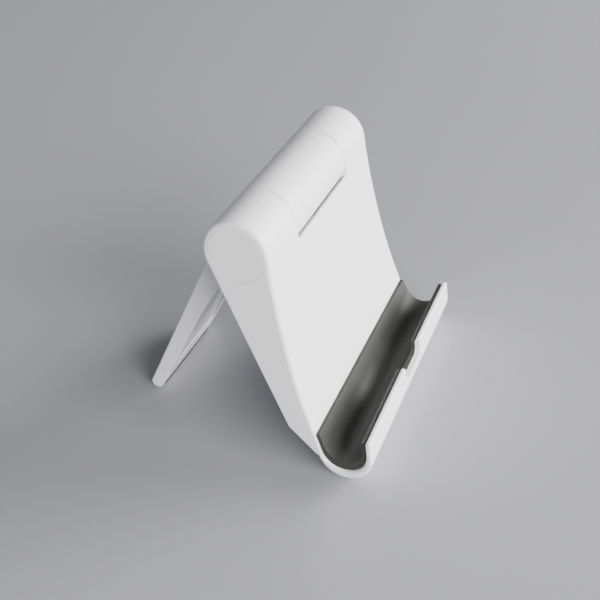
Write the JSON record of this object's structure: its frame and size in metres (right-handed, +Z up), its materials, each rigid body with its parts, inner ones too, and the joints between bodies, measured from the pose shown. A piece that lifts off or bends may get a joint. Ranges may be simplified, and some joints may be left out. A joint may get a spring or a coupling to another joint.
{
  "type": "tablet stand",
  "caption": "Folding desk stand: a flared front shell with a padded J-shaped cradle and cable notch, held up by a leg that swings on a friction hinge.",
  "frame": {"origin": "centre of the open stand's footprint on the table", "axes": "+X along the hinge axis, -Y towards the side the tablet leans on, +Z up"},
  "size_m": [0.0872, 0.0896, 0.0827],
  "materials": {
    "shell_plastic": "white moulded ABS, satin",
    "leg_plastic": "white moulded ABS, satin",
    "cap_plastic": "white moulded ABS, satin",
    "liner_silicone": "dark grey silicone, matt",
    "pad_silicone": "dark grey silicone, matt",
    "screw_steel": "bright zinc plated steel",
    "spring_steel": "spring steel",
    "bush_plastic": "natural acetal"
  },
  "bodies": {
    "shell": {"front_shell": "shell_plastic", "channel_liner": "liner_silicone", "base_pad_left": "pad_silicone", "base_pad_right": "pad_silicone", "end_cap_left": "cap_plastic", "end_cap_right": "cap_plastic", "hinge_screw": "screw_steel", "screw_washer": "screw_steel", "nut_washer": "screw_steel", "disc_spring_inner": "spring_steel", "disc_spring_outer": "spring_steel", "lock_nut": "screw_steel", "friction_washer_left": "bush_plastic", "friction_washer_right": "bush_plastic"},
    "leg": {"support_leg": "leg_plastic", "knuckle_bush_left": "bush_plastic", "knuckle_bush_right": "bush_plastic", "foot_pad": "pad_silicone"}
  },
  "joints": [
    {"name": "leg_fold", "type": "hinge", "parent": "shell", "child": "leg", "pos_m": [0, -0.01041, 0.0727], "axis": [1, 0, 0], "range_deg": [-51, 99]}
  ]
}
